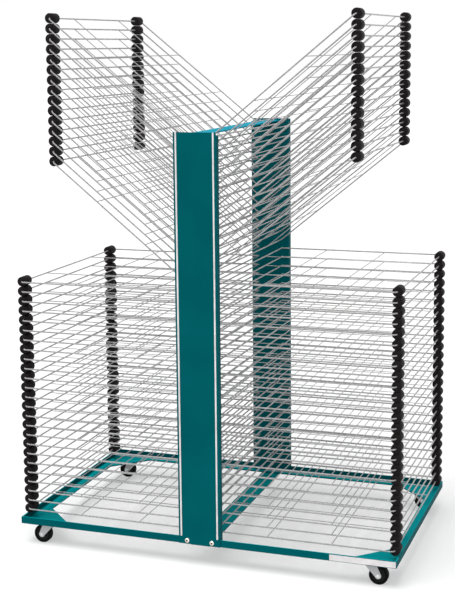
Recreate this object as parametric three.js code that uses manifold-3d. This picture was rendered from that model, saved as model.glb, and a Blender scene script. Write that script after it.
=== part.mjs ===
// Art drying rack: two columns on a wheeled base carry forty hinged wire shelves on each side.
// Millimetres, +Z up, origin on the floor at the middle of the rack, front towards -Y.

import * as THREE from 'three';
import { mergeVertices } from 'three/addons/utils/BufferGeometryUtils.js';
import Module from 'manifold-3d';

const wasm = await Module();
wasm.setup();

// Shelf counts
const shelvesPerSide = 40;
const raisedCountLeft = 15;
const raisedCountRight = 14;
const lowStackCount = 10;
const highStackCount = 9;

// Shelf sizes
const shelfPitch = 25.4;
const raisedAngle = THREE.MathUtils.degToRad(39);
const shelfReach = 457;
const shelfDepth = 580;
const railWire = 4;
const gridWire = 1.9;
const gridReachShares = [0.3, 0.66];
const gridDepthShares = [0.26, 0.74];

// Bumper sizes
const bumperLength = 32;
const bumperInset = 4;

// Column sizes
const pivotOffset = 35;
const lowestPivot = 88.8;
const columnWidth = 110;
const columnDepth = 17;
const columnWall = 2;
const columnAbovePivot = 12;
const panelWall = 2;
const panelRise = 4;

// Top strap and trim sizes
const strapWidth = 50;
const strapThickness = 3;
const trimWidth = 4;
const trimThickness = 1;
const trimEdge = 7;
const trimFootGap = 2;

// Base sizes
const baseWidth = 1004;
const railFoot = 55.5;
const railHeight = 18;
const railFlange = 30;
const railWall = 3;
const gussetLeg = 120;
const tieWidth = 50;
const tieThickness = 3;

// Caster sizes
const wheelRadius = 24;
const wheelWidth = 18;
const treadRound = 3;
const hubRecess = 2;
const axleRadius = 3;
const axleOverhang = 1.5;
const casterTrail = 18;
const casterSideInset = 67;
const casterEndInset = 30;
const forkWall = 2.5;
const forkFootRadius = 8;
const forkCrownRadius = 15;
const forkCrownHeight = 3.5;
const raceRadius = 12;
const wheelSideGap = 1.5;
const wheelTopGap = 1.5;

// Clearances
const fitGap = 0.3;
const pivotGap = 0.5;
const bumperGap = 0.6;
const stackOverlap = 0.4;
const wireLevelGap = 0.2;
const wireSink = 0.3;

// Worked out from the sizes above
const columnInnerY = shelfDepth / 2 + railWire / 2 + pivotGap;
const railOuterY = columnInnerY + columnDepth;
const highestPivot = lowestPivot + (shelvesPerSide - 1) * shelfPitch;
const columnTop = highestPivot + columnAbovePivot;
const strapTop = columnTop - panelRise;
const columnCap = strapTop - strapThickness - fitGap;
const railTop = railFoot + railHeight;
const stackedPerSide = lowStackCount + highStackCount;

// Materials
function paint(colour, roughness, metalness) {
  return new THREE.MeshStandardMaterial({ color: colour, roughness, metalness });
}
const tealPaint = paint(0x00666a, 0.45, 0.1);
const strapPaint = paint(0x00a0b4, 0.4, 0.1);
const brightWire = paint(0xb9bbc0, 0.3, 0.9);
const whiteTrim = paint(0xf7f2f4, 0.5, 0);
const greyFork = paint(0xc9cbce, 0.4, 0.6);
const blackTyre = paint(0x1c1b1c, 0.7, 0);

// Closed geometry to solid and back
function solid(geometry) {
  geometry.deleteAttribute('normal');
  geometry.deleteAttribute('uv');
  const merged = mergeVertices(geometry, 1e-4);
  const vertProperties = new Float32Array(merged.attributes.position.array);
  const triVerts = new Uint32Array(merged.index.array);
  return new wasm.Manifold(new wasm.Mesh({ numProp: 3, vertProperties, triVerts }));
}

function join(pieces) {
  return pieces.reduce((whole, piece) => whole.add(piece));
}

function geometryOf(shape) {
  const { vertProperties, triVerts } = shape.getMesh();
  const geometry = new THREE.BufferGeometry();
  geometry.setAttribute('position', new THREE.BufferAttribute(vertProperties, 3));
  geometry.setIndex(new THREE.BufferAttribute(triVerts, 1));
  geometry.computeVertexNormals();
  return geometry;
}

function block(low, high) {
  const size = high.map((value, axis) => value - low[axis]);
  const middle = high.map((value, axis) => (value + low[axis]) / 2);
  return solid(new THREE.BoxGeometry(...size).translate(...middle));
}

// Flat outline, and the same raised to a plate between two heights
function rectangle(path, halfX, halfY) {
  path.moveTo(-halfX, -halfY);
  path.lineTo(halfX, -halfY);
  path.lineTo(halfX, halfY);
  path.lineTo(-halfX, halfY);
  path.closePath();
  return path;
}

function plate(outline, low, high, curveSegments = 4) {
  const options = { depth: high - low, bevelEnabled: false, curveSegments };
  return solid(new THREE.ExtrudeGeometry(outline, options).translate(0, 0, low));
}

// Rectangular loop of three-sided rail wire, flat on its inner side
function railLoop(halfX, halfY) {
  const half = railWire / 2;
  const profile = [[-half, -half], [half, 0], [-half, half]];
  const corners = [[1, 1], [-1, 1], [-1, -1], [1, -1]];
  const positions = [];
  const faces = [];
  corners.forEach(([signX, signY], corner) => {
    const next = (corner + 1) % corners.length;
    profile.forEach(([outward, height], point) => {
      const other = (point + 1) % profile.length;
      const near = [corner * profile.length + point, corner * profile.length + other];
      const far = [next * profile.length + point, next * profile.length + other];
      positions.push(signX * (halfX + outward), signY * (halfY + outward), height);
      faces.push(near[0], far[0], far[1], near[0], far[1], near[1]);
    });
  });
  const geometry = new THREE.BufferGeometry();
  geometry.setAttribute('position', new THREE.Float32BufferAttribute(positions, 3));
  return solid(geometry.setIndex(faces));
}

// Three-sided grid wire with its flat side at the middle of the shelf's thickness
function gridPrism(length, turn, levelSign) {
  const radius = gridWire / Math.sqrt(3);
  const flatFace = radius / 2 + wireLevelGap / 2;
  const prism = new THREE.CylinderGeometry(radius, radius, length + 2 * wireSink, 3);
  prism.rotateY(levelSign > 0 ? 0 : Math.PI);
  return prism.translate(0, 0, levelSign * flatFace).rotateZ(turn);
}

// One shelf's wires about its hinge line: the loop reaches along +X, and the grid wires lie in two
// levels between its rails
function shelfWires() {
  const pieces = [railLoop(shelfReach / 2, shelfDepth / 2).translate([shelfReach / 2, 0, 0])];
  for (const share of gridReachShares) {
    const wire = gridPrism(shelfDepth - railWire, 0, 1);
    pieces.push(solid(wire.translate(shelfReach * share, 0, 0)));
  }
  for (const share of gridDepthShares) {
    const wire = gridPrism(shelfReach - railWire, Math.PI / 2, -1);
    pieces.push(solid(wire.translate(shelfReach / 2, (share - 0.5) * shelfDepth, 0)));
  }
  return pieces;
}

// Bumpers at both ends of the outer rail, as one or more six-sided rounds on top of each other
function bumperColumns(count) {
  const endRadius = (shelfPitch - bumperGap) / 2;
  const radius = count > 1 ? (shelfPitch + stackOverlap) / 2 : endRadius;
  const flank = radius * Math.cos(Math.PI / 6);
  const seam = (radius - shelfPitch / 2) * Math.tan(Math.PI / 3);
  const rise = [];
  for (let level = 0; level < count; level += 1) {
    const height = level * shelfPitch;
    if (level > 0) {
      rise.push([seam, height - shelfPitch / 2]);
    }
    rise.push([flank, height - radius / 2], [flank, height + radius / 2]);
  }
  const top = [0, (count - 1) * shelfPitch + endRadius];
  const fall = rise.map(([x, z]) => [-x, z]).reverse();
  const outline = [[0, -endRadius], ...rise, top, ...fall];
  const shape = new THREE.Shape(outline.map(([x, z]) => new THREE.Vector2(x, z)));
  const inner = shelfDepth / 2 - railWire / 2 - bumperInset - bumperLength;
  const column = plate(shape, inner, inner + bumperLength).rotate([90, 0, 0]).translate([shelfReach, 0, 0]);
  return [column, column.translate([0, 2 * inner + bumperLength, 0])];
}

function shelfSolid() {
  return join([...shelfWires(), ...bumperColumns(1)]);
}

// Neighbouring shelves of a side, resting bumper on bumper
function shelfStackSolid(count) {
  const pieces = bumperColumns(count);
  const wires = join(shelfWires());
  for (let level = 0; level < count; level += 1) {
    pieces.push(wires.translate([0, 0, level * shelfPitch]));
  }
  return join(pieces);
}

// Base: angle iron with its leg up at the outside, corner plates, and a tie between the columns
function baseFrameSolid() {
  const halfX = baseWidth / 2;
  const halfY = railOuterY;
  const flange = rectangle(new THREE.Shape(), halfX, halfY);
  const inner = new THREE.Path();
  const innerX = halfX - railFlange;
  const innerY = halfY - railFlange;
  const cutX = halfX - gussetLeg;
  const cutY = halfY - gussetLeg;
  inner.moveTo(-cutX, -innerY);
  inner.lineTo(cutX, -innerY);
  inner.lineTo(innerX, -cutY);
  inner.lineTo(innerX, cutY);
  inner.lineTo(cutX, innerY);
  inner.lineTo(-cutX, innerY);
  inner.lineTo(-innerX, cutY);
  inner.lineTo(-innerX, -cutY);
  inner.closePath();
  flange.holes.push(inner);
  const leg = rectangle(new THREE.Shape(), halfX, halfY);
  leg.holes.push(rectangle(new THREE.Path(), halfX - railWall, halfY - railWall));
  const tieReach = halfY - railWall;
  const tie = block([-tieWidth / 2, -tieReach, railFoot - tieThickness], [tieWidth / 2, tieReach, railFoot]);
  const pieces = [plate(flange, railFoot, railFoot + railWall), plate(leg, railFoot, railTop), tie];
  return join(pieces);
}

// Column, drawn for the front: an outer panel in front of a folded channel that is open below.
// The channel stands on the base's flange and is notched over the base's upright leg.
function columnSolid() {
  const halfX = columnWidth / 2;
  const panelInner = -(railOuterY + fitGap);
  const panelOuter = panelInner - panelWall;
  const foot = railFoot + railWall + fitGap;
  const panel = block([-halfX, panelOuter, railFoot], [halfX, panelInner, columnTop]);
  const channel = block([-halfX, panelInner, foot], [halfX, -columnInnerY, columnCap]);
  const hollowLow = [-halfX + columnWall, panelInner, railFoot];
  const hollowHigh = [halfX - columnWall, -columnInnerY - columnWall, columnCap - columnWall];
  const legRoom = -(railOuterY - railWall - fitGap);
  const notch = block([-columnWidth, panelInner, railFoot], [columnWidth, legRoom, railTop + fitGap]);
  return channel.subtract(block(hollowLow, hollowHigh)).subtract(notch).add(panel);
}

// Flat strap that ties the two columns together at the top
function topStrapSolid() {
  const reach = railOuterY;
  return block([-strapWidth / 2, -reach, strapTop - strapThickness], [strapWidth / 2, reach, strapTop]);
}

// White strip near one edge of the front panel
function trimStripSolid(side) {
  const face = -(railOuterY + fitGap + panelWall + fitGap);
  const x = side * (columnWidth / 2 - trimEdge);
  const low = [x - trimWidth / 2, face - trimThickness, railTop + trimFootGap];
  return block(low, [x + trimWidth / 2, face, columnTop]);
}

// Caster fork about its swivel line, with the wheel trailing along +X
function casterForkSolid() {
  const crownFoot = 2 * wheelRadius + wheelTopGap;
  const crownTop = crownFoot + forkCrownHeight;
  const legInner = wheelWidth / 2 + wheelSideGap;
  const legOuter = legInner + forkWall;
  const lean = Math.atan2(casterTrail, crownFoot - wheelRadius);
  const outline = new THREE.Shape();
  outline.moveTo(-forkCrownRadius, crownTop);
  outline.lineTo(-forkCrownRadius, crownFoot);
  outline.absarc(casterTrail, wheelRadius, forkFootRadius, Math.PI + lean / 2, 2 * Math.PI + lean, false);
  outline.lineTo(forkCrownRadius, crownFoot);
  outline.lineTo(forkCrownRadius, crownTop);
  outline.closePath();
  const leg = plate(outline, 0, forkWall, 2).rotate([90, 0, 0]);
  const crown = block([-forkCrownRadius, -legOuter, crownFoot], [forkCrownRadius, legOuter, crownTop]);
  const raceHeight = railFoot - fitGap - crownTop;
  const race = new THREE.CylinderGeometry(raceRadius, raceRadius, raceHeight, 8);
  const axleLength = 2 * (legOuter + axleOverhang);
  const axle = new THREE.CylinderGeometry(axleRadius, axleRadius, axleLength, 6);
  return join([
    crown,
    leg.translate([0, legOuter, 0]),
    leg.translate([0, -legInner, 0]),
    solid(race.rotateX(Math.PI / 2).translate(0, 0, crownTop + raceHeight / 2)),
    solid(axle.translate(casterTrail, 0, wheelRadius)),
  ]);
}

// Wheel turned about its axle, with a rounded tread, dished sides and a bore that runs on the axle
function casterWheelGeometry() {
  const bore = axleRadius + fitGap;
  const side = wheelWidth / 2;
  const profile = [
    [bore, -side + hubRecess],
    [wheelRadius - treadRound, -side],
    [wheelRadius, -side + treadRound],
    [wheelRadius, side - treadRound],
    [wheelRadius - treadRound, side],
    [bore, side - hubRecess],
    [bore, -side + hubRecess],
  ];
  const points = profile.map(([radius, along]) => new THREE.Vector2(radius, along));
  return geometryOf(solid(new THREE.LatheGeometry(points, 12)));
}

// Scene graph
const rack = new THREE.Group();
rack.name = 'art_drying_rack';

function addMesh(parent, name, geometry, material) {
  const mesh = new THREE.Mesh(geometry, material);
  mesh.name = name;
  parent.add(mesh);
  return mesh;
}

function addShelves(sideName, turn, raised) {
  const side = new THREE.Group();
  side.rotation.z = turn;
  rack.add(side);
  const lowStack = addMesh(side, `shelf_stack_${sideName}_low`, lowStackGeometry, brightWire);
  lowStack.position.set(pivotOffset, 0, lowestPivot);
  const highStack = addMesh(side, `shelf_stack_${sideName}_high`, highStackGeometry, brightWire);
  highStack.position.set(pivotOffset, 0, lowestPivot + lowStackCount * shelfPitch);
  for (let level = stackedPerSide; level < shelvesPerSide; level += 1) {
    const number = String(level + 1).padStart(2, '0');
    const shelf = addMesh(side, `shelf_${sideName}_${number}`, shelfGeometry, brightWire);
    shelf.position.set(pivotOffset, 0, lowestPivot + level * shelfPitch);
    shelf.rotation.y = level >= shelvesPerSide - raised ? -raisedAngle : 0;
  }
}

function addCasters() {
  const forkGeometry = geometryOf(casterForkSolid());
  const wheelGeometry = casterWheelGeometry();
  for (const [endName, end] of [['front', -1], ['rear', 1]]) {
    for (const [sideName, side] of [['left', -1], ['right', 1]]) {
      const caster = new THREE.Group();
      caster.position.x = side * (baseWidth / 2 - casterSideInset);
      caster.position.y = end * (railOuterY - casterEndInset);
      caster.rotation.z = side > 0 ? 0 : Math.PI;
      rack.add(caster);
      addMesh(caster, `caster_fork_${endName}_${sideName}`, forkGeometry, greyFork);
      const wheel = addMesh(caster, `caster_wheel_${endName}_${sideName}`, wheelGeometry, blackTyre);
      wheel.position.set(casterTrail, 0, wheelRadius);
    }
  }
}

const shelfGeometry = geometryOf(shelfSolid());
const lowStackGeometry = geometryOf(shelfStackSolid(lowStackCount));
const highStackGeometry = geometryOf(shelfStackSolid(highStackCount));
const columnGeometry = geometryOf(columnSolid());
addMesh(rack, 'base_frame', geometryOf(baseFrameSolid()), tealPaint);
addMesh(rack, 'front_column', columnGeometry, tealPaint);
addMesh(rack, 'rear_column', columnGeometry, tealPaint).rotation.z = Math.PI;
addMesh(rack, 'top_strap', geometryOf(topStrapSolid()), strapPaint);
addMesh(rack, 'trim_strip_left', geometryOf(trimStripSolid(-1)), whiteTrim);
addMesh(rack, 'trim_strip_right', geometryOf(trimStripSolid(1)), whiteTrim);
addShelves('left', Math.PI, raisedCountLeft);
addShelves('right', 0, raisedCountRight);
addCasters();

export default rack;
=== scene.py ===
# Art drying rack dressed for rendering: wires, bumpers, casters, paint and studio around the CAD frame.
# Metres, +Z up, front towards -Y.

import math

import bmesh
import bpy
from mathutils import Matrix, Vector


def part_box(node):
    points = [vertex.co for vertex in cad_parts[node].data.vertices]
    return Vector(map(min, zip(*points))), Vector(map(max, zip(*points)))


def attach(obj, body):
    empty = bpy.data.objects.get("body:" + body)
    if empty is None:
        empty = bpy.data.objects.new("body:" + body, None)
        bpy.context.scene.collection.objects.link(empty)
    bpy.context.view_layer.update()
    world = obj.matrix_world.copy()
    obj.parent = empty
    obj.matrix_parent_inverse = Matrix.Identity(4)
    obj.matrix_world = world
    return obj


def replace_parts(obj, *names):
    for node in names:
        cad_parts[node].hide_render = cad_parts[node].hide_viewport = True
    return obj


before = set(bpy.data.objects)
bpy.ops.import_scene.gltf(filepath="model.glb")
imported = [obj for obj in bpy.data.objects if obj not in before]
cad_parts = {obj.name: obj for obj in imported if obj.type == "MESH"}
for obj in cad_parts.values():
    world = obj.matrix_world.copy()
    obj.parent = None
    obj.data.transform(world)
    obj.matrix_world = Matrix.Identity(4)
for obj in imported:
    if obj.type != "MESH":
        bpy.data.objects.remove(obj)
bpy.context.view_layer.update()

# Sizes shared with the CAD source
SHELVES = 40
STACKS = {"low": (0, 10), "high": (10, 19)}
RAISED = {"left": 15, "right": 14}
PITCH = 0.0254
REACH = 0.457
DEPTH = 0.580
PIVOT_X = 0.035
LOWEST_PIVOT = 0.0888
RAISED_ANGLE = math.radians(39)
RAIL_FOOT = 0.0555
RAIL_HEIGHT = 0.018
WHEEL_RADIUS = 0.024
WHEEL_WIDTH = 0.018
WHEEL_SIDE_GAP = 0.0015
WHEEL_TOP_GAP = 0.0015
CASTER_TRAIL = 0.018
CASTER_X = 0.435
CASTER_Y = 0.2795
FIT_GAP = 0.0003

# Shelf wires, with the grid's places as shares of the shelf's reach and depth
RAIL_RADIUS = 0.0019
RAIL_SIDES = 8
GRID_RADIUS = 0.00115
GRID_SIDES = 6
GRID_X = (0.30, 0.66)
GRID_Y = (0.26, 0.74)
BEND_RADIUS = 0.010
BEND_STEPS = 5
ROD_OVERHANG = 0.002
SHELF_CREASE = 40

# Bumpers
BUMPER_RADIUS = 0.0126
BUMPER_LENGTH = 0.035
BUMPER_CHAMFER = 0.0014
BUMPER_SHOULDER = 0.0004
BUMPER_SHOULDER_LENGTH = 0.0006
BUMPER_BORE = RAIL_RADIUS + FIT_GAP
BUMPER_MOUTH = RAIL_RADIUS + 0.0012
BUMPER_MOUTH_DEPTH = 0.001
BUMPER_INSET = 0.006
BUMPER_CENTRE = DEPTH / 2 - BUMPER_INSET - BUMPER_LENGTH / 2
BUMPER_SEGMENTS = 24

# Caster forks, the race in (radius, height) pairs
CROWN_HALF = 0.015
CROWN_HEIGHT = 0.0035
CROWN_FOOT = 2 * WHEEL_RADIUS + WHEEL_TOP_GAP
CROWN_TOP = CROWN_FOOT + CROWN_HEIGHT
FORK_WALL = 0.0025
FORK_INNER = WHEEL_WIDTH / 2 + WHEEL_SIDE_GAP
FORK_OUTER = FORK_INNER + FORK_WALL
FORK_FOOT_RADIUS = 0.008
FORK_FOOT_STEPS = 16
FORK_BEVEL = 0.0007
FORK_BEVEL_ANGLE = 0.5
RACE_TOP = RAIL_FOOT - FIT_GAP
RACE_PROFILE = (
    (0.0085, CROWN_TOP - 0.0002),
    (0.0115, CROWN_TOP),
    (0.0120, CROWN_TOP + 0.0004),
    (0.0108, CROWN_TOP + 0.0010),
    (0.0120, CROWN_TOP + 0.0015),
    (0.0120, RACE_TOP - 0.0004),
    (0.0110, RACE_TOP),
    (0.0085, RACE_TOP),
)
RACE_SEGMENTS = 32
AXLE_RADIUS = 0.0031
AXLE_END_RADIUS = 0.0028
AXLE_CHAMFER = 0.0006
AXLE_OVERHANG = 0.0015
AXLE_SEGMENTS = 20
NUT_RADIUS = 0.0050
NUT_TOP_RADIUS = 0.0042
NUT_SHOULDER = 0.0010
NUT_HEIGHT = 0.0014
NUT_SIDES = 6

# Caster wheels, side walls in (radius, depth behind the wheel's face) pairs
TREAD_ROUND = 0.003
TREAD_STEPS = 6
TREAD_SHOULDER = WHEEL_RADIUS - TREAD_ROUND
TYRE_WALL = ((0.0165, 0.0012), (0.0195, 0.0002), (TREAD_SHOULDER, 0))
HUB_WALL = (
    (0.0033, 0.0002),
    (0.0068, 0.0002),
    (0.0074, 0.0008),
    (0.0074, 0.0030),
    (0.0150, 0.0030),
    (0.0152, 0.0014),
    (0.0166, 0.0012),
)
WHEEL_SEGMENTS = 48
SPOKES = 5
SPOKE_MIDDLE = 0.0112
SPOKE_DEPTH = 0.0022
SPOKE_SIZE = (0.0078, 0.0020, 0.0020, 1)

# Sheet metal
EDGE_SEGMENTS = 2
EDGE_ANGLE = math.radians(40)
FLAT_ANGLE = math.radians(1)
UPWARD = 0.9

# Small hardware, round pieces in (radius, height) pairs
SCREW_X = 0.033
SCREW_PROFILE = (
    (0.0063, 0),
    (0.0063, 0.0007),
    (0.0056, 0.0019),
    (0.0040, 0.0027),
    (0.0024, 0.0029),
    (0.0022, 0.0013),
    (0.0004, 0.0011),
)
SCREW_SEGMENTS = 24
RECESS_RADIUS = 0.0026
RECESS_FLOOR = 0.0005
BUSHING_PROFILE = (
    (RAIL_RADIUS + 0.0004, 0),
    (0.0052, 0),
    (0.0052, 0.0001),
    (0.0046, 0.0003),
    (RAIL_RADIUS + 0.0008, 0.0003),
)
BUSHING_SEGMENTS = 16
PLATE_LEFT = 0.336
PLATE_RIGHT = 0.5005
PLATE_FOOT_MARGIN = 0.0012
PLATE_HEAD_MARGIN = 0.0018
PLATE_THICKNESS = 0.0004
PLATE_CORNER = 0.0008
PLATE_STEPS = 4

# The camera that matches the photograph, which is 455 by 600 pixels
PHOTO_WIDTH = 455
PHOTO_HEIGHT = 600
FOCAL_PIXELS = 1314.2
AXIS_PIXEL_X = 232.63
AXIS_PIXEL_Y = 249.65
CAMERA_PLACE = Vector((1.1198, -3.2585, 1.2964))
CAMERA_YAW = 0.3346
CAMERA_PITCH = 0.1542
CAMERA_ROLL = -0.0091
CAMERA_SENSOR = 36
CAMERA_FAR = 100

# Studio
FLOOR_REACH = 40
FLOOR_COLOUR = (0.55, 0.55, 0.55, 1)
FLOOR_GLOW = 0.42
WHITE_LIGHT = (1, 1, 1, 1)
WORLD_LEVEL = 0.50
BACKDROP_LEVEL = 1.0

ALONG_Y = Matrix.Rotation(-math.pi / 2, 4, "X")

scene = bpy.context.scene
scene.view_settings.view_transform = "Standard"


def add_camera():
    forward = Vector(
        (
            -math.sin(CAMERA_YAW) * math.cos(CAMERA_PITCH),
            math.cos(CAMERA_YAW) * math.cos(CAMERA_PITCH),
            -math.sin(CAMERA_PITCH),
        )
    )
    right = Vector((math.cos(CAMERA_YAW), math.sin(CAMERA_YAW), 0))
    up = right.cross(forward)
    rolled_right = right * math.cos(CAMERA_ROLL) + up * math.sin(CAMERA_ROLL)
    rolled_up = up * math.cos(CAMERA_ROLL) - right * math.sin(CAMERA_ROLL)
    facing = Matrix((rolled_right, rolled_up, -forward)).transposed().to_4x4()
    data = bpy.data.cameras.new("photo_camera")
    data.sensor_width = CAMERA_SENSOR
    data.lens = FOCAL_PIXELS * CAMERA_SENSOR / PHOTO_HEIGHT
    data.shift_x = (PHOTO_WIDTH / 2 - AXIS_PIXEL_X) / PHOTO_HEIGHT
    data.shift_y = (AXIS_PIXEL_Y - PHOTO_HEIGHT / 2) / PHOTO_HEIGHT
    data.clip_end = CAMERA_FAR
    camera = bpy.data.objects.new("photo_camera", data)
    camera.matrix_world = Matrix.Translation(CAMERA_PLACE) @ facing
    scene.collection.objects.link(camera)
    scene.camera = camera


# Materials


def start_material(name, roughness, metallic=0.0):
    material = bpy.data.materials.new(name)
    material.use_nodes = True
    shader = material.node_tree.nodes["Principled BSDF"]
    shader.inputs["Roughness"].default_value = roughness
    shader.inputs["Metallic"].default_value = metallic
    return material, material.node_tree, shader


def noise_node(tree, scale, detail, stretch=(1, 1, 1)):
    place = tree.nodes.new("ShaderNodeTexCoord")
    mapping = tree.nodes.new("ShaderNodeMapping")
    mapping.inputs["Scale"].default_value = stretch
    noise = tree.nodes.new("ShaderNodeTexNoise")
    noise.inputs["Scale"].default_value = scale
    noise.inputs["Detail"].default_value = detail
    tree.links.new(place.outputs["Object"], mapping.inputs["Vector"])
    tree.links.new(mapping.outputs["Vector"], noise.inputs["Vector"])
    return noise.outputs["Fac"]


def shade(colour, factor):
    return (*(min(1.0, channel * factor) for channel in colour), 1)


# Stops are (place on the ramp, factor on the colour) pairs
def vary_colour(tree, source, colour, stops, shader):
    ramp = tree.nodes.new("ShaderNodeValToRGB")
    for element, (position, factor) in zip(ramp.color_ramp.elements, (stops[0], stops[-1])):
        element.position = position
        element.color = shade(colour, factor)
    for position, factor in stops[1:-1]:
        ramp.color_ramp.elements.new(position).color = shade(colour, factor)
    tree.links.new(source, ramp.inputs["Fac"])
    tree.links.new(ramp.outputs["Color"], shader.inputs["Base Color"])


def vary_roughness(tree, source, roughness, below, above, shader):
    span = tree.nodes.new("ShaderNodeMapRange")
    span.inputs["To Min"].default_value = roughness - below
    span.inputs["To Max"].default_value = roughness + above
    tree.links.new(source, span.inputs["Value"])
    tree.links.new(span.outputs["Result"], shader.inputs["Roughness"])


def bump_node(tree, source, distance, strength, shader):
    bump = tree.nodes.new("ShaderNodeBump")
    bump.inputs["Distance"].default_value = distance
    bump.inputs["Strength"].default_value = strength
    tree.links.new(source, bump.inputs["Height"])
    tree.links.new(bump.outputs["Normal"], shader.inputs["Normal"])


# Powder coat: faint clouding over the sheet and a fine orange peel
def powder_coat(name, colour, roughness, gloss=0.01):
    material, tree, shader = start_material(name, roughness)
    shader.inputs["Specular IOR Level"].default_value = gloss
    cloud = noise_node(tree, scale=7, detail=4)
    vary_colour(tree, cloud, colour, stops=((0.3, 0.90), (0.7, 1.10)), shader=shader)
    peel = noise_node(tree, scale=420, detail=2)
    vary_roughness(tree, peel, roughness, below=0.07, above=0.07, shader=shader)
    bump_node(tree, peel, distance=0.0002, strength=0.12, shader=shader)
    return material


# Drawn and plated wire or pressed metal: streaks along one direction, lighter and darker than the metal,
# partly real drawing marks and partly painted highlights, and dull patches
def plated_metal(name, colour, roughness, stretch, metallic=1.0):
    material, tree, shader = start_material(name, roughness, metallic)
    streak_and_glint = noise_node(tree, scale=60, detail=5, stretch=stretch)
    vary_colour(tree, streak_and_glint, colour, stops=((0.25, 0.70), (0.5, 1.0), (0.75, 1.40)), shader=shader)
    vary_roughness(tree, streak_and_glint, roughness, below=0.1, above=0.12, shader=shader)
    return material


# Moulded rubber or plastic: fine grain and slight dulling
def moulded(name, colour, roughness, grain, gloss):
    material, tree, shader = start_material(name, roughness)
    shader.inputs["Specular IOR Level"].default_value = gloss
    dulling = noise_node(tree, scale=40, detail=4)
    vary_colour(tree, dulling, colour, stops=((0.3, 0.88), (0.75, 1.14)), shader=shader)
    vary_roughness(tree, dulling, roughness, below=0.08, above=0.1, shader=shader)
    pores = noise_node(tree, scale=grain, detail=2)
    bump_node(tree, pores, distance=0.0001, strength=0.2, shader=shader)
    return material


TEAL = powder_coat("teal_powder_coat", (0.0, 0.114, 0.130), roughness=0.45)
# Brighter copy of the teal for upward faces: painted light, standing in for the light from above
TEAL_LIT_TOP = powder_coat("teal_painted_lit_top", (0.0, 0.34, 0.37), roughness=0.55)
# Lighter teal on the columns' softened edges, partly worn paint and partly a painted highlight; the
# bushings take it too
TEAL_EDGE = powder_coat("teal_edge", (0.004, 0.16, 0.17), roughness=0.40)
# Pale teal for the base's softened edges: a painted highlight, where light catches the edges
PAINTED_EDGE_HIGHLIGHT = powder_coat("teal_painted_edge_highlight", (0.12, 0.52, 0.55), roughness=0.30)
STRAP = powder_coat("strap_powder_coat", (0.0, 0.29, 0.40), roughness=0.55)
FORK = powder_coat("fork_finish", (0.62, 0.62, 0.63), roughness=0.34, gloss=0.3)
# The wire's strong light and dark streaks are partly painted highlights along its length
WIRE = plated_metal("plated_wire", (0.365, 0.36, 0.365), roughness=0.28, stretch=(6, 1, 6), metallic=0.12)
ZINC = plated_metal("plated_steel", (0.58, 0.585, 0.60), roughness=0.30, stretch=(4, 4, 1))
NICKEL = plated_metal("nickel_screw", (0.80, 0.75, 0.66), roughness=0.25, stretch=(1, 1, 1))
# Dark brown for the screws' sunk drives: painted shade in the recess
RECESS_SHADE = plated_metal("screw_recess_shade", (0.10, 0.06, 0.05), roughness=0.5, stretch=(1, 1, 1))
RUBBER = moulded("bumper_rubber", (0.015, 0.0125, 0.013), roughness=0.55, grain=900, gloss=0.04)
TYRE = moulded("tyre_rubber", (0.005, 0.005, 0.005), roughness=0.5, grain=700, gloss=0.04)
HUB = moulded("hub_plastic", (0.014, 0.014, 0.015), roughness=0.4, grain=600, gloss=0.1)
WHITE = moulded("white_vinyl", (0.86, 0.84, 0.85), roughness=0.38, grain=500, gloss=0.4)


# Mesh helpers


def make_mesh(name, shape, materials, crease):
    bmesh.ops.recalc_face_normals(shape, faces=shape.faces)
    mesh = bpy.data.meshes.new(name)
    shape.to_mesh(mesh)
    shape.free()
    mesh.shade_smooth()
    mesh.set_sharp_from_angle(angle=math.radians(crease))
    for material in materials:
        mesh.materials.append(material)
    return mesh


def place_piece(name, mesh, body, place=None):
    piece = bpy.data.objects.new(name, mesh)
    scene.collection.objects.link(piece)
    if place is not None:
        piece.matrix_world = place
    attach(piece, body)
    return piece


def finish_piece(name, shape, materials, body, crease=35):
    return place_piece(name, make_mesh(name, shape, materials, crease), body)


# A face grown into a solid
def thicken(shape, face, shift):
    grown = bmesh.ops.extrude_face_region(shape, geom=[face])
    moved = [item for item in grown["geom"] if isinstance(item, bmesh.types.BMVert)]
    bmesh.ops.translate(shape, verts=moved, vec=shift)


# Rings of points joined one to the next, with a flat face at each end
def join_rings(shape, rings):
    sides = len(rings[0])
    for first, second in zip(rings, rings[1:]):
        for side in range(sides):
            other = (side + 1) % sides
            shape.faces.new((first[side], first[other], second[other], second[side]))
    shape.faces.new(list(reversed(rings[0])))
    shape.faces.new(rings[-1])


# A round wire along an open path
def sweep(shape, path, radius, sides):
    rings = []
    normal = None
    last = len(path) - 1
    for index, point in enumerate(path):
        along = (path[min(index + 1, last)] - path[max(index - 1, 0)]).normalized()
        if normal is None:
            normal = along.orthogonal().normalized()
        normal = (normal - along * normal.dot(along)).normalized()
        across = along.cross(normal)
        ring = []
        for side in range(sides):
            angle = 2 * math.pi * side / sides
            offset = normal * math.cos(angle) + across * math.sin(angle)
            ring.append(shape.verts.new(point + offset * radius))
        rings.append(ring)
    join_rings(shape, rings)


# Corners joined by arcs of one radius; the ends of an open path stay sharp
def rounded_path(corners, radius, steps, closed):
    path = []
    count = len(corners)
    for index, corner in enumerate(corners):
        if not closed and index in (0, count - 1):
            path.append(corner)
            continue
        inward = (corners[index - 1] - corner).normalized()
        outward = (corners[(index + 1) % count] - corner).normalized()
        half = inward.angle(outward) / 2
        start = corner + inward * radius / math.tan(half)
        end = corner + outward * radius / math.tan(half)
        centre = corner + (inward + outward).normalized() * radius / math.sin(half)
        for step in range(steps + 1):
            spoke = (start - centre).lerp(end - centre, step / steps)
            path.append(centre + spoke.normalized() * radius)
    return path


def profile_point(radius, along, angle):
    return Vector((radius * math.cos(angle), radius * math.sin(angle), along))


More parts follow.
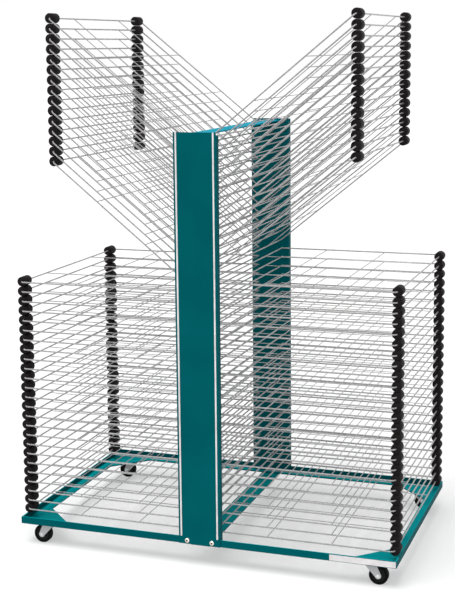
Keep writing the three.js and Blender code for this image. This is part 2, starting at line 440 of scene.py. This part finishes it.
# A closed profile of (radius, along) pairs turned about an axis, with a bore through it
def turn(shape, profile, place, segments):
    rings = []
    for segment in range(segments):
        angle = 2 * math.pi * segment / segments
        rings.append([shape.verts.new(place @ profile_point(*pair, angle)) for pair in profile])
    count = len(profile)
    for segment in range(segments):
        first = rings[segment]
        second = rings[(segment + 1) % segments]
        for index in range(count):
            following = (index + 1) % count
            shape.faces.new((first[index], first[following], second[following], second[index]))


# An open profile turned about an axis, with a flat face at each end
def turn_solid(shape, profile, place, segments):
    rings = []
    angles = [2 * math.pi * segment / segments for segment in range(segments)]
    for pair in profile:
        rings.append([shape.verts.new(place @ profile_point(*pair, angle)) for angle in angles])
    join_rings(shape, rings)


# A half profile and its mirror image across the middle
def mirrored(profile):
    return profile + [(radius, -along) for radius, along in reversed(profile)]


# Shelves: an outer loop of rail wire bent round at the bumpers, a hinge rod, and two grid wires each way


def add_wire(shape, place, points, radius, sides):
    sweep(shape, [place @ point for point in points], radius, sides)


def add_shelf_wires(shape, place):
    half = DEPTH / 2
    corners = [
        Vector((0, -half, 0)),
        Vector((REACH, -half, 0)),
        Vector((REACH, half, 0)),
        Vector((0, half, 0)),
    ]
    loop = rounded_path(corners, BEND_RADIUS, BEND_STEPS, closed=False)
    add_wire(shape, place, loop, RAIL_RADIUS, RAIL_SIDES)
    rod_end = half + ROD_OVERHANG
    rod = [Vector((0, -rod_end, 0)), Vector((0, rod_end, 0))]
    add_wire(shape, place, rod, RAIL_RADIUS, RAIL_SIDES)
    for share in GRID_X:
        x = REACH * share
        wire = [Vector((x, -half, GRID_RADIUS)), Vector((x, half, GRID_RADIUS))]
        add_wire(shape, place, wire, GRID_RADIUS, GRID_SIDES)
    for share in GRID_Y:
        y = (share - 0.5) * DEPTH
        wire = [Vector((0, y, -GRID_RADIUS)), Vector((REACH, y, -GRID_RADIUS))]
        add_wire(shape, place, wire, GRID_RADIUS, GRID_SIDES)


def add_bumpers(shape, place):
    end = BUMPER_LENGTH / 2
    profile = mirrored(
        [
            (BUMPER_BORE, -end + BUMPER_MOUTH_DEPTH),
            (BUMPER_MOUTH, -end),
            (BUMPER_RADIUS - BUMPER_CHAMFER, -end),
            (BUMPER_RADIUS - BUMPER_SHOULDER, -end + BUMPER_SHOULDER_LENGTH),
            (BUMPER_RADIUS, -end + BUMPER_CHAMFER),
        ]
    )
    for y in (-BUMPER_CENTRE, BUMPER_CENTRE):
        spot = place @ Matrix.Translation((REACH, y, 0)) @ ALONG_Y
        turn(shape, profile, spot, BUMPER_SEGMENTS)


def shelf_place(side, level, angle):
    side_turn = Matrix.Rotation(math.pi if side == "left" else 0, 4, "Z")
    lift = Matrix.Translation((PIVOT_X, 0, LOWEST_PIVOT + level * PITCH))
    return side_turn @ lift @ Matrix.Rotation(-angle, 4, "Y")


# One mesh of wires and one of bumpers, shared by all the hinged shelves
def shelf_meshes():
    wires = bmesh.new()
    add_shelf_wires(wires, Matrix.Identity(4))
    bumpers = bmesh.new()
    add_bumpers(bumpers, Matrix.Identity(4))
    wire_mesh = make_mesh("shelf_wires", wires, [WIRE], SHELF_CREASE)
    bumper_mesh = make_mesh("shelf_bumpers", bumpers, [RUBBER], SHELF_CREASE)
    return wire_mesh, bumper_mesh


def add_stack(side, part, first, last):
    wires = bmesh.new()
    bumpers = bmesh.new()
    for level in range(first, last):
        place = shelf_place(side, level, 0)
        add_shelf_wires(wires, place)
        add_bumpers(bumpers, place)
    stack = f"shelf_stack_{side}_{part}"
    grids = finish_piece(f"{stack}_wires", wires, [WIRE], "rack", SHELF_CREASE)
    ends = finish_piece(f"{stack}_bumpers", bumpers, [RUBBER], "rack", SHELF_CREASE)
    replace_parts(grids, stack)
    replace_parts(ends, stack)


def add_shelves(side, wire_mesh, bumper_mesh):
    for part, (first, last) in STACKS.items():
        add_stack(side, part, first, last)
    for level in range(STACKS["high"][1], SHELVES):
        node = f"shelf_{side}_{level + 1:02d}"
        angle = RAISED_ANGLE if level >= SHELVES - RAISED[side] else 0
        place = shelf_place(side, level, angle)
        grid = place_piece(f"{node}_wires", wire_mesh, node, place)
        ends = place_piece(f"{node}_bumpers", bumper_mesh, node, place)
        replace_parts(grid, node)
        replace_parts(ends, node)


# Casters: pressed fork with a ball race and a bolt for an axle, and a tyre on a ribbed hub


# Outline of a fork cheek in (x, z): the crown above and a round foot at the axle
def cheek_outline():
    lean = math.atan2(CASTER_TRAIL, CROWN_FOOT - WHEEL_RADIUS)
    outline = [(-CROWN_HALF, CROWN_TOP), (-CROWN_HALF, CROWN_FOOT)]
    sweep_angle = math.pi + lean / 2
    for step in range(FORK_FOOT_STEPS + 1):
        angle = sweep_angle + sweep_angle * step / FORK_FOOT_STEPS
        x = CASTER_TRAIL + FORK_FOOT_RADIUS * math.cos(angle)
        z = WHEEL_RADIUS + FORK_FOOT_RADIUS * math.sin(angle)
        outline.append((x, z))
    return outline + [(CROWN_HALF, CROWN_FOOT), (CROWN_HALF, CROWN_TOP)]


def add_fork_body(place, name):
    shape = bmesh.new()
    outline = cheek_outline()
    for near in (FORK_INNER, -FORK_OUTER):
        cheek = shape.faces.new([shape.verts.new(place @ Vector((x, near, z))) for x, z in outline])
        thicken(shape, cheek, place.to_3x3() @ Vector((0, FORK_WALL, 0)))
    crown = Matrix.Translation((0, 0, (CROWN_FOOT + CROWN_TOP) / 2))
    size = Matrix.Diagonal((2 * CROWN_HALF, 2 * FORK_OUTER, CROWN_TOP - CROWN_FOOT, 1))
    bmesh.ops.create_cube(shape, size=1, matrix=place @ crown @ size)
    edges = [edge for edge in shape.edges if edge.calc_face_angle(0) > FORK_BEVEL_ANGLE]
    bmesh.ops.bevel(shape, geom=edges, offset=FORK_BEVEL, segments=2, affect="EDGES", profile=0.5)
    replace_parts(finish_piece(f"{name}_body", shape, [FORK], name), name)


# Swivel race above the crown, axle bolt and nuts
def add_fork_metal(place, name):
    metal = bmesh.new()
    turn_solid(metal, RACE_PROFILE, place, RACE_SEGMENTS)
    end = FORK_OUTER + AXLE_OVERHANG
    bolt = mirrored([(AXLE_END_RADIUS, -end), (AXLE_RADIUS, -end + AXLE_CHAMFER)])
    axle = place @ Matrix.Translation((CASTER_TRAIL, 0, WHEEL_RADIUS)) @ ALONG_Y
    turn_solid(metal, bolt, axle, AXLE_SEGMENTS)
    nut = [
        (NUT_RADIUS, FORK_OUTER),
        (NUT_RADIUS, FORK_OUTER + NUT_SHOULDER),
        (NUT_TOP_RADIUS, FORK_OUTER + NUT_HEIGHT),
    ]
    turn_solid(metal, [(radius, -along) for radius, along in reversed(nut)], axle, NUT_SIDES)
    turn_solid(metal, nut, axle, NUT_SIDES)
    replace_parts(finish_piece(f"{name}_race", metal, [ZINC], name), name)


def add_tyre(place, name):
    side = WHEEL_WIDTH / 2
    profile = [(radius, depth - side) for radius, depth in TYRE_WALL]
    for step in range(1, TREAD_STEPS + 1):
        angle = math.pi / 2 * (step / TREAD_STEPS - 1)
        radius = TREAD_SHOULDER + TREAD_ROUND * math.cos(angle)
        profile.append((radius, TREAD_ROUND + TREAD_ROUND * math.sin(angle) - side))
    tyre = bmesh.new()
    turn(tyre, mirrored(profile), place, WHEEL_SEGMENTS)
    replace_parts(finish_piece(f"{name}_tyre", tyre, [TYRE], name), name)


def add_hub(place, name):
    side = WHEEL_WIDTH / 2
    profile = [(radius, depth - side) for radius, depth in HUB_WALL]
    hub = bmesh.new()
    turn(hub, mirrored(profile), place, WHEEL_SEGMENTS)
    size = Matrix.Diagonal(SPOKE_SIZE)
    for face in (-1, 1):
        middle = Matrix.Translation((SPOKE_MIDDLE, 0, face * (side - SPOKE_DEPTH)))
        for spoke in range(SPOKES):
            spoke_turn = Matrix.Rotation(2 * math.pi * spoke / SPOKES, 4, "Z")
            bmesh.ops.create_cube(hub, size=1, matrix=place @ spoke_turn @ middle @ size)
    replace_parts(finish_piece(f"{name}_hub", hub, [HUB], name), name)


def add_casters():
    for end_name, end in (("front", -1), ("rear", 1)):
        for side_name, side in (("left", -1), ("right", 1)):
            turned = Matrix.Rotation(0 if side > 0 else math.pi, 4, "Z")
            place = Matrix.Translation((side * CASTER_X, end * CASTER_Y, 0)) @ turned
            fork = f"caster_fork_{end_name}_{side_name}"
            add_fork_body(place, fork)
            add_fork_metal(place, fork)
            axle = place @ Matrix.Translation((CASTER_TRAIL, 0, WHEEL_RADIUS)) @ ALONG_Y
            wheel = f"caster_wheel_{end_name}_{side_name}"
            add_tyre(axle, wheel)
            add_hub(axle, wheel)


# CAD sheet metal keeps its shape and gets softened edges and its finish


# The last material goes on the softened edges; when asked for, the second one goes on faces that look up,
# a lighter copy of the paint that stands in for the light falling on them from above
def dress_node(node, materials, width, lit_top_faces=False):
    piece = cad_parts[node]
    piece.data.materials.clear()
    for material in materials:
        piece.data.materials.append(material)
    for polygon in piece.data.polygons:
        polygon.material_index = 1 if lit_top_faces and polygon.normal.z > UPWARD else 0
    flat = piece.modifiers.new("flatten", "DECIMATE")
    flat.decimate_type = "DISSOLVE"
    flat.angle_limit = FLAT_ANGLE
    soft = piece.modifiers.new("soften", "BEVEL")
    soft.width = width
    soft.segments = EDGE_SEGMENTS
    soft.limit_method = "ANGLE"
    soft.angle_limit = EDGE_ANGLE
    soft.material = len(materials) - 1
    soft.harden_normals = True


def dress_frame():
    # On the base, faces that look up get a brighter teal painted in as the light from above, and the
    # softened edges a pale teal painted in as a highlight
    dress_node("base_frame", [TEAL, TEAL_LIT_TOP, PAINTED_EDGE_HIGHLIGHT], width=0.0010, lit_top_faces=True)
    dress_node("front_column", [TEAL, TEAL_EDGE], width=0.0004)
    dress_node("rear_column", [TEAL, TEAL_EDGE], width=0.0004)
    dress_node("top_strap", [STRAP], width=0.0004)
    dress_node("trim_strip_left", [WHITE], width=0.0002)
    dress_node("trim_strip_right", [WHITE], width=0.0002)


# Small hardware on the frame


# Domed screw whose sunk drive is painted dark as shade
def add_screw(shape, place):
    earlier = set(shape.faces)
    turn_solid(shape, SCREW_PROFILE, place, SCREW_SEGMENTS)
    to_axis = place.inverted()
    for face in set(shape.faces) - earlier:
        middle = to_axis @ face.calc_center_median()
        sunk = middle.z > RECESS_FLOOR and middle.to_2d().length < RECESS_RADIUS
        face.material_index = 1 if sunk else 0


def add_panel_screws():
    shape = bmesh.new()
    for node, facing in (("front_column", 1), ("rear_column", -1)):
        low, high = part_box(node)
        face = low.y if facing > 0 else high.y
        for x in (-SCREW_X, SCREW_X):
            spot = Matrix.Translation((x, face, RAIL_FOOT + RAIL_HEIGHT / 2))
            add_screw(shape, spot @ Matrix.Rotation(facing * math.pi / 2, 4, "X"))
    finish_piece("panel_screws", shape, [NICKEL, RECESS_SHADE], "rack")


# Bushings on the columns' inner faces, one for each end of every hinge rod
def add_bushings():
    for node, facing in (("front_column", -1), ("rear_column", 1)):
        shape = bmesh.new()
        low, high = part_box(node)
        face = high.y if facing < 0 else low.y
        turned = Matrix.Rotation(facing * math.pi / 2, 4, "X")
        for side in (-1, 1):
            for level in range(SHELVES):
                spot = Matrix.Translation((side * PIVOT_X, face, LOWEST_PIVOT + level * PITCH))
                turn(shape, BUSHING_PROFILE, spot @ turned, BUSHING_SEGMENTS)
        finish_piece(f"{node}_bushings", shape, [TEAL_EDGE], "rack")


# Bare plate with rounded corners at the right end of the front rail
def add_plate():
    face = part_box("base_frame")[0].y
    foot = RAIL_FOOT + PLATE_FOOT_MARGIN
    head = RAIL_FOOT + RAIL_HEIGHT - PLATE_HEAD_MARGIN
    corners = [
        Vector((PLATE_LEFT, face, foot)),
        Vector((PLATE_RIGHT, face, foot)),
        Vector((PLATE_RIGHT, face, head)),
        Vector((PLATE_LEFT, face, head)),
    ]
    outline = rounded_path(corners, PLATE_CORNER, PLATE_STEPS, closed=True)
    shape = bmesh.new()
    back = shape.faces.new([shape.verts.new(point) for point in outline])
    thicken(shape, back, Vector((0, -PLATE_THICKNESS, 0)))
    finish_piece("front_plate", shape, [WHITE], "rack")


# Studio: pale floor, white surround, soft light from above


# One where any of the named kinds of ray meets the surface, and otherwise zero
def ray_mask(tree, kinds):
    path = tree.nodes.new("ShaderNodeLightPath")
    mask = path.outputs[kinds[0]]
    for kind in kinds[1:]:
        widest = tree.nodes.new("ShaderNodeMath")
        widest.operation = "MAXIMUM"
        tree.links.new(mask, widest.inputs[0])
        tree.links.new(path.outputs[kind], widest.inputs[1])
        mask = widest.outputs[0]
    return mask


def floor_material():
    material = bpy.data.materials.new("studio_floor")
    material.use_nodes = True
    tree = material.node_tree
    tree.nodes.clear()
    out = tree.nodes.new("ShaderNodeOutputMaterial")
    diffuse = tree.nodes.new("ShaderNodeBsdfDiffuse")
    diffuse.inputs["Color"].default_value = FLOOR_COLOUR
    glow = tree.nodes.new("ShaderNodeEmission")
    scaled = tree.nodes.new("ShaderNodeMath")
    scaled.operation = "MULTIPLY"
    scaled.inputs[1].default_value = FLOOR_GLOW
    both = tree.nodes.new("ShaderNodeAddShader")
    mask = ray_mask(tree, ("Is Camera Ray", "Is Glossy Ray"))
    tree.links.new(mask, scaled.inputs[0])
    tree.links.new(scaled.outputs[0], glow.inputs["Strength"])
    tree.links.new(diffuse.outputs["BSDF"], both.inputs[0])
    tree.links.new(glow.outputs["Emission"], both.inputs[1])
    tree.links.new(both.outputs["Shader"], out.inputs["Surface"])
    return material


def add_floor():
    corners = [
        (-FLOOR_REACH, -FLOOR_REACH, 0),
        (FLOOR_REACH, -FLOOR_REACH, 0),
        (FLOOR_REACH, FLOOR_REACH, 0),
        (-FLOOR_REACH, FLOOR_REACH, 0),
    ]
    mesh = bpy.data.meshes.new("studio_floor")
    mesh.from_pydata(corners, [], [(0, 1, 2, 3)])
    mesh.materials.append(floor_material())
    floor = bpy.data.objects.new("studio_floor", mesh)
    scene.collection.objects.link(floor)


def background_node(tree, level):
    background = tree.nodes.new("ShaderNodeBackground")
    background.inputs["Color"].default_value = WHITE_LIGHT
    background.inputs["Strength"].default_value = level
    return background.outputs["Background"]


def add_world():
    world = bpy.data.worlds.new("studio")
    scene.world = world
    world.use_nodes = True
    tree = world.node_tree
    tree.nodes.clear()
    out = tree.nodes.new("ShaderNodeOutputWorld")
    mix = tree.nodes.new("ShaderNodeMixShader")
    mask = ray_mask(tree, ("Is Camera Ray", "Is Glossy Ray", "Is Transmission Ray"))
    tree.links.new(mask, mix.inputs["Fac"])
    tree.links.new(background_node(tree, WORLD_LEVEL), mix.inputs[1])
    tree.links.new(background_node(tree, BACKDROP_LEVEL), mix.inputs[2])
    tree.links.new(mix.outputs["Shader"], out.inputs["Surface"])


def add_sun(name, direction, strength, spread):
    data = bpy.data.lights.new(name, "SUN")
    data.energy = strength
    data.angle = math.radians(spread)
    lamp = bpy.data.objects.new(name, data)
    lamp.rotation_euler = Vector(direction).to_track_quat("-Z", "Y").to_euler()
    scene.collection.objects.link(lamp)


add_camera()
dress_frame()
wire_mesh, bumper_mesh = shelf_meshes()
add_shelves("left", wire_mesh, bumper_mesh)
add_shelves("right", wire_mesh, bumper_mesh)
add_casters()
add_panel_screws()
add_bushings()
add_plate()
add_floor()
add_world()
add_sun("key_light", (0.15, 0.30, -1.0), strength=2.3, spread=40)
add_sun("fill_light", (-0.5, 0.8, -0.4), strength=0.6, spread=80)
